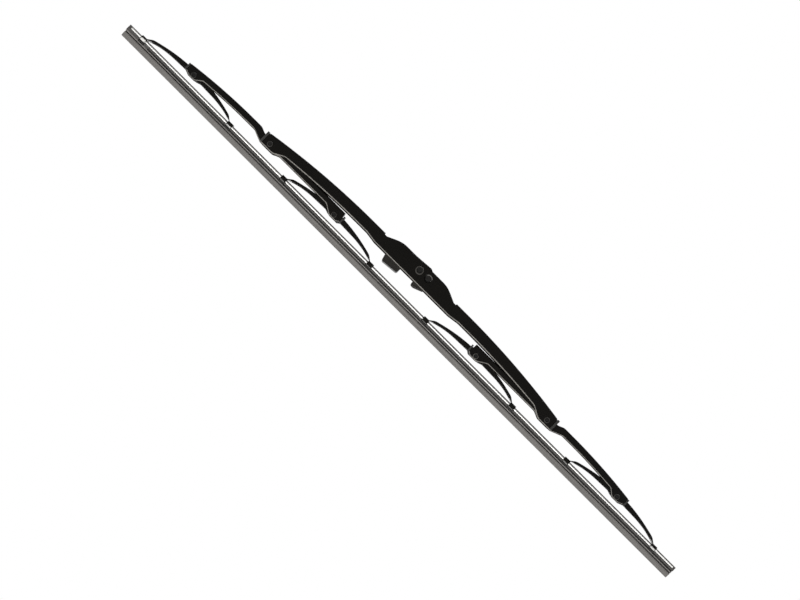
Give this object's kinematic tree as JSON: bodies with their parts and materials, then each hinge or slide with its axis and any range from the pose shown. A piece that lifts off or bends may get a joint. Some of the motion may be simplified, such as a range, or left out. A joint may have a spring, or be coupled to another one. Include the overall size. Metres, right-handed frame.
{
  "type": "wiper blade",
  "caption": "Framed wiper blade: riveted pressed-steel bridges and claw levers press a rubber strip with spring rails onto curved glass, and a plastic clip takes a hook arm.",
  "frame": {"origin": "middle of the cross pin, about which the arm swings", "axes": "+X along the blade, towards the end where the rubber is free, +Y across it, +Z from the glass to the arm"},
  "size_m": [0.56, 0.016, 0.0385],
  "materials": {
    "painted_steel": "satin",
    "rivet_steel": "satin",
    "rail_steel": "brushed",
    "rubber": "matte",
    "clip_plastic": "matte",
    "bush_plastic": "matte"
  },
  "bodies": {
    "primary": {"primary_bridge": "painted_steel", "cross_pin": "rivet_steel", "bridge_rivet_left": "rivet_steel", "bridge_rivet_right": "rivet_steel", "bridge_bush_left": "bush_plastic", "bridge_bush_right": "bush_plastic", "wiping_rubber": "rubber", "rail_near": "rail_steel", "rail_far": "rail_steel"},
    "arm_clip": {"arm_clip": "clip_plastic"},
    "secondary_left": {"secondary_bridge_left": "painted_steel", "claw_rivet_outer_left": "rivet_steel", "claw_bush_outer_left": "bush_plastic", "claw_rivet_inner_left": "rivet_steel", "claw_bush_inner_left": "bush_plastic"},
    "claw_outer_left": {"claw_lever_outer_left": "painted_steel"},
    "claw_inner_left": {"claw_lever_inner_left": "painted_steel"},
    "secondary_right": {"secondary_bridge_right": "painted_steel", "claw_rivet_outer_right": "rivet_steel", "claw_bush_outer_right": "bush_plastic", "claw_rivet_inner_right": "rivet_steel", "claw_bush_inner_right": "bush_plastic"},
    "claw_outer_right": {"claw_lever_outer_right": "painted_steel"},
    "claw_inner_right": {"claw_lever_inner_right": "painted_steel"}
  },
  "joints": [
    {"name": "secondary_left_pivot", "type": "hinge", "parent": "primary", "child": "secondary_left", "pos_m": [-0.1422, 0, -0.01165], "axis": [0, -1, 0], "range_deg": [-2.5, 2.5], "stiffness_Nm_per_rad": 0.5, "deforming": ["wiping_rubber", "rail_near", "rail_far"]},
    {"name": "claw_outer_left_pivot", "type": "hinge", "parent": "secondary_left", "child": "claw_outer_left", "pos_m": [-0.2174, 0, -0.0152], "axis": [0, -1, 0], "range_deg": [-2.5, 2.5], "stiffness_Nm_per_rad": 0.2, "deforming": ["wiping_rubber", "rail_near", "rail_far"]},
    {"name": "claw_inner_left_pivot", "type": "hinge", "parent": "secondary_left", "child": "claw_inner_left", "pos_m": [-0.0729, 0, -0.0152], "axis": [0, 1, 0], "range_deg": [-2.5, 2.5], "stiffness_Nm_per_rad": 0.2, "deforming": ["wiping_rubber", "rail_near", "rail_far"]},
    {"name": "secondary_right_pivot", "type": "hinge", "parent": "primary", "child": "secondary_right", "pos_m": [0.1422, 0, -0.01165], "axis": [0, 1, 0], "range_deg": [-2.5, 2.5], "stiffness_Nm_per_rad": 0.5, "deforming": ["wiping_rubber", "rail_near", "rail_far"]},
    {"name": "claw_outer_right_pivot", "type": "hinge", "parent": "secondary_right", "child": "claw_outer_right", "pos_m": [0.2174, 0, -0.0152], "axis": [0, 1, 0], "range_deg": [-2.5, 2.5], "stiffness_Nm_per_rad": 0.2, "deforming": ["wiping_rubber", "rail_near", "rail_far"]},
    {"name": "claw_inner_right_pivot", "type": "hinge", "parent": "secondary_right", "child": "claw_inner_right", "pos_m": [0.0729, 0, -0.0152], "axis": [0, -1, 0], "range_deg": [-2.5, 2.5], "stiffness_Nm_per_rad": 0.2, "deforming": ["wiping_rubber", "rail_near", "rail_far"]},
    {"name": "arm_clip_pivot", "type": "hinge", "parent": "primary", "child": "arm_clip", "pos_m": [0, 0, 0], "axis": [0, 1, 0], "range_deg": [-12, 12]}
  ]
}
